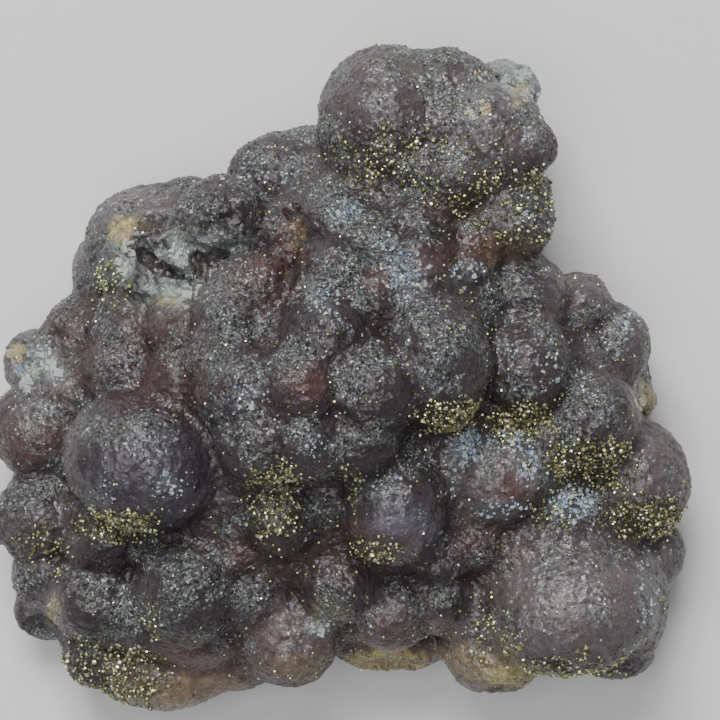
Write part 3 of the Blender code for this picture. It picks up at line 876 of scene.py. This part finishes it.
class Nodes:
    """A short way to write a material's nodes."""

    def __init__(self, name):
        self.material = bpy.data.materials.new(name)
        self.material.use_nodes = True
        self.tree = self.material.node_tree
        self.shader = self.tree.nodes["Principled BSDF"]

    def add(self, kind, inputs=(), output=0, **settings):
        """Add a node, set or link its inputs, and return one of its outputs."""
        node = self.tree.nodes.new(kind)
        for key, value in settings.items():
            setattr(node, key, value)
        for key, value in dict(inputs).items():
            self.put(node.inputs[key], value)
        return node.outputs[output]

    def put(self, socket, value):
        if isinstance(value, bpy.types.NodeSocket):
            self.tree.links.new(value, socket)
        else:
            socket.default_value = value

    def set(self, **inputs):
        for key, value in inputs.items():
            self.put(self.shader.inputs[key.replace("_", " ")], value)

    def attribute(self, name):
        return self.add("ShaderNodeAttribute", output="Fac", attribute_name=name)

    def place(self):
        """Where each point of the piece is, in metres."""
        return self.add("ShaderNodeTexCoord", output="Object")

    def noise(self, vector, scale, detail, roughness=0.5, distortion=0.0, output=0):
        inputs = {
            "Vector": vector,
            "Scale": scale,
            "Detail": detail,
            "Roughness": roughness,
            "Distortion": distortion,
        }
        return self.add("ShaderNodeTexNoise", inputs, output)

    def cells(self, vector, scale):
        """Random colours of Voronoi cells, and how far each place is from its cell's edge."""
        inputs = {"Vector": vector, "Scale": scale}
        tone = self.add("ShaderNodeTexVoronoi", inputs, output="Color")
        edge = self.add("ShaderNodeTexVoronoi", inputs, feature="DISTANCE_TO_EDGE")
        return tone, edge

    def channel(self, tone, number):
        """The red, green or blue of a colour, by its number."""
        return self.add("ShaderNodeSeparateColor", {0: tone}, output=number)

    def maths(self, operation, first, second=0.0):
        return self.add("ShaderNodeMath", {0: first, 1: second}, operation=operation)

    def times(self, first, second):
        return self.maths("MULTIPLY", first, second)

    def share(self, name, factor):
        """An attribute times a factor."""
        return self.times(self.attribute(name), factor)

    def one_less(self, amount):
        """What is left of 1 after the amount."""
        return self.maths("SUBTRACT", 1.0, amount)

    def off_half(self, amount):
        """How far a value is from a half, either way."""
        return self.maths("ABSOLUTE", self.maths("SUBTRACT", amount, 0.5))

    def vector(self, operation, first, second):
        return self.add("ShaderNodeVectorMath", {0: first, 1: second}, operation=operation)

    def scaled(self, vector, amount):
        return self.add("ShaderNodeVectorMath", {0: vector, "Scale": amount}, operation="SCALE")

    def bump(self, height, strength, distance):
        inputs = {"Strength": strength, "Distance": distance, "Height": height}
        return self.add("ShaderNodeBump", inputs)

    def mix(self, amount, first, second):
        """Mix two colours."""
        node = self.tree.nodes.new("ShaderNodeMix")
        node.data_type = "RGBA"
        self.put(node.inputs[0], amount)
        self.put(node.inputs[6], first)
        self.put(node.inputs[7], second)
        return node.outputs[2]

    def ramp(self, value, *stops):
        """Map a value through (place, colour) stops."""
        node = self.tree.nodes.new("ShaderNodeValToRGB")
        self.put(node.inputs[0], value)
        elements = node.color_ramp.elements
        while len(elements) < len(stops):
            elements.new(0.5)
        for element, (place, colour) in zip(elements, stops):
            element.position = place
            element.color = colour
        return node.outputs[0]

    def span(self, value, low, high):
        """0 at the low value, 1 at the high one."""
        inputs = {"Value": value, "From Min": low, "From Max": high}
        return self.add("ShaderNodeMapRange", inputs)


def colour(red, green, blue):
    return (red, green, blue, 1)


def fluorite_body(made, wide, mottle, painted_facet_light):
    """The colours under the druse: plum, paler, violet or reddish, and the glassy broken places, with
    painted light and shade: pale rims lit through, lighter and darker broken facets, a bluish glow on the
    gleams, shade in the hollows and in the pocket and under the crown's rim.
    """
    pale = made.attribute("pale")
    plum = made.mix(wide, colour(0.026, 0.017, 0.02), colour(0.072, 0.05, 0.056))
    body = made.mix(made.times(mottle, 0.5), plum, colour(0.06, 0.036, 0.036))
    milky = made.mix(mottle, colour(0.128, 0.102, 0.106), colour(0.228, 0.194, 0.192))
    body = made.mix(pale, body, milky)
    slate = made.mix(wide, colour(0.055, 0.047, 0.066), colour(0.125, 0.11, 0.148))
    slate = made.mix(pale, slate, colour(0.18, 0.16, 0.205))
    body = made.mix(made.attribute("violet"), body, slate)
    reddish = made.mix(mottle, colour(0.075, 0.024, 0.023), colour(0.165, 0.076, 0.066))
    body = made.mix(made.attribute("red"), body, reddish)
    # Glass lighter or darker from shard to shard: painted light on broken facets, mixed with mottle
    glass = made.mix(painted_facet_light, colour(0.04, 0.042, 0.04), colour(0.21, 0.225, 0.215))
    body = made.mix(made.attribute("broken"), body, glass)
    # A painted bluish glow on the clear places and the gleams
    body = made.mix(made.share("clear", 0.5), body, colour(0.15, 0.19, 0.22))
    # White broken parts and painted highlights of the glints, lighter or darker from shard to shard as
    # painted light
    white = made.mix(painted_facet_light, colour(0.11, 0.13, 0.125), colour(0.46, 0.52, 0.5))
    body = made.mix(made.attribute("white"), body, white)
    # Darkest lobes, and painted shade in the pocket and under the crown's rim
    body = made.mix(made.share("dark", 0.8), body, colour(0.03, 0.019, 0.027))
    iron = made.mix(mottle, colour(0.32, 0.22, 0.08), colour(0.68, 0.59, 0.24))
    patchy = made.times(made.attribute("stain"), made.span(mottle, -0.4, 0.75))
    body = made.mix(patchy, body, iron)
    body = made.mix(made.share("crust", 0.65), body, colour(0.028, 0.024, 0.015))
    # Painted shade in the hollows and creases
    crease_shade = made.span(made.attribute("hollow"), 0.05, 0.7)
    return made.mix(made.times(crease_shade, 0.7), body, colour(0.034, 0.016, 0.016))


def glitter(made, body, bent, hue, lot):
    """Painted reflections over the body colour: the druse's silvery flakes, partly its own pale crystals
    and partly painted sheen, with painted glints as sparks and painted highlights as pale strokes, and
    dark cores between them.
    """
    druse = made.attribute("druse")
    clear = made.attribute("clear")
    silver_sheen = made.ramp(
        hue,
        (0.0, colour(0.23, 0.24, 0.23)),
        (0.4, colour(0.11, 0.13, 0.13)),
        (0.8, colour(0.17, 0.26, 0.26)),
        (1.0, colour(0.31, 0.3, 0.24)),
    )
    # Bluish flakes on the clear places and the gleams: painted reflection
    bluish = made.mix(hue, colour(0.2, 0.3, 0.42), colour(0.45, 0.6, 0.62))
    silver_sheen = made.mix(clear, silver_sheen, bluish)
    # Silvery flakes: the druse's pale crystals and painted sheen
    flake_sheen = made.maths("LESS_THAN", lot, made.times(druse, FLAKE_SHARE))
    weight = made.maths("SUBTRACT", 0.43, made.share("dark", 0.2))
    weight = made.maths("ADD", weight, made.times(clear, 0.4))
    body = made.mix(made.times(flake_sheen, weight), body, silver_sheen)
    # Bright sparks: painted glints
    painted_glint = made.maths("LESS_THAN", lot, made.times(druse, GLINT_SHARE))
    body = made.mix(made.times(painted_glint, 0.9), body, colour(0.8, 0.86, 0.84))
    weave = made.off_half(made.noise(bent, WEAVE, 2, 0.6))
    core = made.times(made.span(weave, 0.07, 0.15), made.span(druse, 0.1, 0.5))
    body = made.mix(made.times(core, 0.6), body, colour(0.02, 0.014, 0.016))
    # Pale strokes: painted highlights
    highlight_stroke = made.times(made.span(weave, 0.035, 0.012), made.span(druse, 0.15, 0.6))
    light = made.mix(0.5, silver_sheen, colour(0.5, 0.56, 0.54))
    return made.mix(made.times(highlight_stroke, 0.45), body, light)


def painted_gap_shade(made, bent, cell_edge, grain_edge):
    """Painted shade in the lines between crystals and in the folds of the surface. Crystals of their own
    mesh have none.
    """
    fold = made.off_half(made.noise(bent, FOLDS, 3, 0.55))
    fine = made.times(made.span(grain_edge, 0.1, 0.02), 0.5)
    shade_line = made.maths("MAXIMUM", made.span(cell_edge, 0.11, 0.03), fine)
    shade_line = made.maths("MAXIMUM", shade_line, made.span(fold, 0.022, 0.006))
    shade_line = made.times(shade_line, made.one_less(made.attribute("facet")))
    return made.times(shade_line, made.one_less(made.share("pale", 0.5)))


def tilted_normal(made, cell, grain, shards):
    """The surface's normal, tilted from crystal to crystal, and from shard to shard where it's broken."""
    tilt = made.vector("ADD", cell, grain)
    tilt = made.vector("SUBTRACT", tilt, (1.0, 1.0, 1.0))
    strength = made.maths("ADD", 0.28, made.share("druse", 0.5))
    strength = made.times(strength, made.one_less(made.share("smooth", 0.35)))
    strength = made.times(strength, made.one_less(made.share("facet", 0.85)))
    slant = made.vector("SUBTRACT", shards, (0.5, 0.5, 0.5))
    slant = made.scaled(slant, made.share("broken", 0.7))
    tilt = made.vector("ADD", made.scaled(tilt, strength), slant)
    normal = made.add("ShaderNodeNewGeometry", output="Normal")
    tilted = made.vector("ADD", normal, tilt)
    return made.add("ShaderNodeVectorMath", {0: tilted}, operation="NORMALIZE")


def fluorite_material():
    """Plum-grey, translucent fluorite under a skin of small glittering crystals, whose glitter is partly
    painted reflection, with painted shade in its hollows and in the gaps between crystals.
    """
    made = Nodes("druzy_fluorite")
    place = made.place()
    wide = made.span(made.noise(place, WIDE_CLOUDS, 4, 0.6), 0.32, 0.68)
    mottle = made.span(made.noise(place, MOTTLES, 5, 0.72), 0.3, 0.7)
    swirl = made.noise(place, SWIRLS, 2, output="Color")
    swirl = made.vector("SUBTRACT", swirl, (0.5, 0.5, 0.5))
    bent = made.vector("ADD", place, made.scaled(swirl, BENT_BY))
    shards, _ = made.cells(bent, SHARDS)
    cell, cell_edge = made.cells(bent, FLAKES)
    grain, grain_edge = made.cells(bent, GRAINS)
    # Lighter or darker from shard to shard, painted light on broken facets, mixed with mottle
    painted_facet_light = made.times(made.channel(shards, 0), 0.6)
    painted_facet_light = made.maths("ADD", painted_facet_light, made.times(mottle, 0.4))
    lot = made.channel(grain, 0)
    body = fluorite_body(made, wide, mottle, painted_facet_light)
    body = glitter(made, body, bent, made.channel(cell, 1), lot)
    shade_line = painted_gap_shade(made, bent, cell_edge, grain_edge)
    # Painted shade in the gaps between crystals and in the folds
    body = made.mix(made.times(shade_line, 0.75), body, colour(0.014, 0.01, 0.011))
    rough = made.maths("ADD", 0.2, made.times(lot, 0.22))
    rough = made.maths("ADD", rough, made.times(shade_line, 0.25))
    made.set(Base_Color=body, Roughness=rough, Normal=tilted_normal(made, cell, grain, shards))
    made.set(IOR=FLUORITE_IOR, Specular_IOR_Level=FLUORITE_GLOSS)
    made.set(Subsurface_Weight=0.45, Subsurface_Radius=(1.0, 0.55, 0.6), Subsurface_Scale=0.003)
    return made.material


def clear_material():
    """Clear fluorite with a breath of blue in it."""
    made = Nodes("clear_fluorite")
    tone = made.ramp(
        made.attribute("tint"),
        (0.0, colour(0.95, 0.96, 0.96)),
        (0.5, colour(0.7, 0.82, 0.86)),
        (0.85, colour(0.4, 0.56, 0.86)),
        (1.0, colour(0.7, 0.95, 0.85)),
    )
    made.set(Base_Color=tone, Roughness=0.15, Transmission_Weight=0.5)
    made.set(IOR=FLUORITE_IOR, Specular_IOR_Level=1)
    return made.material


def cleaved_material():
    """White, streaked fluorite, yellow where the tint says."""
    made = Nodes("cleaved_fluorite")
    streaks = made.span(made.noise(made.place(), 900, 4, 0.7, 1.5), 0.3, 0.7)
    white = made.mix(streaks, colour(0.3, 0.34, 0.33), colour(0.8, 0.86, 0.84))
    yellow = made.mix(streaks, colour(0.35, 0.29, 0.13), colour(0.8, 0.74, 0.45))
    tone = made.mix(made.span(made.attribute("tint"), 0.3, 1), white, yellow)
    made.set(Base_Color=tone, Normal=made.bump(streaks, 0.4, 0.0002))
    made.set(Roughness=0.22, Transmission_Weight=0.25)
    made.set(IOR=FLUORITE_IOR, Specular_IOR_Level=FLUORITE_GLOSS)
    return made.material


def pyrite_material():
    """Pale-brass pyrite with a little olive tarnish, lighter or darker from crystal to crystal."""
    made = Nodes("pyrite_crystal")
    grain = made.noise(made.place(), 2500, 3)
    brass = made.ramp(
        made.attribute("tint"),
        (0.0, colour(0.13, 0.122, 0.06)),
        (0.35, colour(0.38, 0.37, 0.19)),
        (0.75, colour(0.66, 0.64, 0.37)),
        (1.0, colour(0.9, 0.88, 0.74)),
    )
    tarnish = made.mix(made.span(grain, 0.45, 0.75), brass, colour(0.35, 0.345, 0.18))
    rough = made.maths("ADD", 0.2, made.times(grain, 0.35))
    made.set(Base_Color=tarnish, Roughness=rough, Metallic=1)
    made.set(Normal=made.bump(grain, 0.2, 0.0001))
    return made.material


def floor_material():
    """Pale, matt paper."""
    made = Nodes("pale_paper")
    grain = made.noise(made.place(), 300, 3)
    tone = made.mix(grain, colour(0.72, 0.72, 0.71), colour(0.76, 0.76, 0.75))
    made.set(Base_Color=tone, Roughness=0.8)
    return made.material


def floor():
    """A square floor, far wider than the picture."""
    shape = bmesh.new()
    bmesh.ops.create_grid(shape, x_segments=1, y_segments=1, size=FLOOR_HALF)
    mesh = bpy.data.meshes.new("floor")
    shape.to_mesh(mesh)
    shape.free()
    new_piece("floor", mesh, floor_material())


def soft_light(light):
    """A square area light that shines at the specimen."""
    data = bpy.data.lights.new(light.name, "AREA")
    data.size = light.side
    data.energy = light.power
    lamp = bpy.data.objects.new(light.name, data)
    lamp.location = light.place
    lamp.rotation_euler = (-Vector(light.place)).to_track_quat("-Z", "Y").to_euler()
    bpy.context.scene.collection.objects.link(lamp)


def studio():
    """The light: faint and bluish from all round, and a window's."""
    world = bpy.data.worlds.new("studio")
    world.use_nodes = True
    background = world.node_tree.nodes["Background"]
    background.inputs["Color"].default_value = colour(0.9, 0.93, 1)
    background.inputs["Strength"].default_value = ALL_ROUND
    bpy.context.scene.world = world
    for light in LIGHTS:
        soft_light(light)


def camera():
    """A camera that looks straight down, shifted as the photograph is cropped."""
    data = bpy.data.cameras.new("camera")
    data.sensor_width = SENSOR
    data.lens = SENSOR * (CAMERA_HEIGHT - REFERENCE) / (FRAME * PIXEL)
    data.shift_x = SHIFT_ACROSS
    data.shift_y = SHIFT_ALONG
    eye = bpy.data.objects.new("camera", data)
    eye.location = (0, 0, CAMERA_HEIGHT * MM)
    bpy.context.scene.collection.objects.link(eye)
    bpy.context.scene.camera = eye


def main():
    fluorite = new_piece("fluorite_druse", druse_surface(), fluorite_material())
    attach(fluorite, "root")
    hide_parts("fluorite")
    ground = Ground(fluorite.data)
    druse_crystals(ground, fluorite.data.materials[0])
    clear_crystals(ground, clear_material())
    cleaved_blocks(ground, cleaved_material())
    pyrite_crystals(ground, pyrite_material())
    floor()
    studio()
    camera()


main()
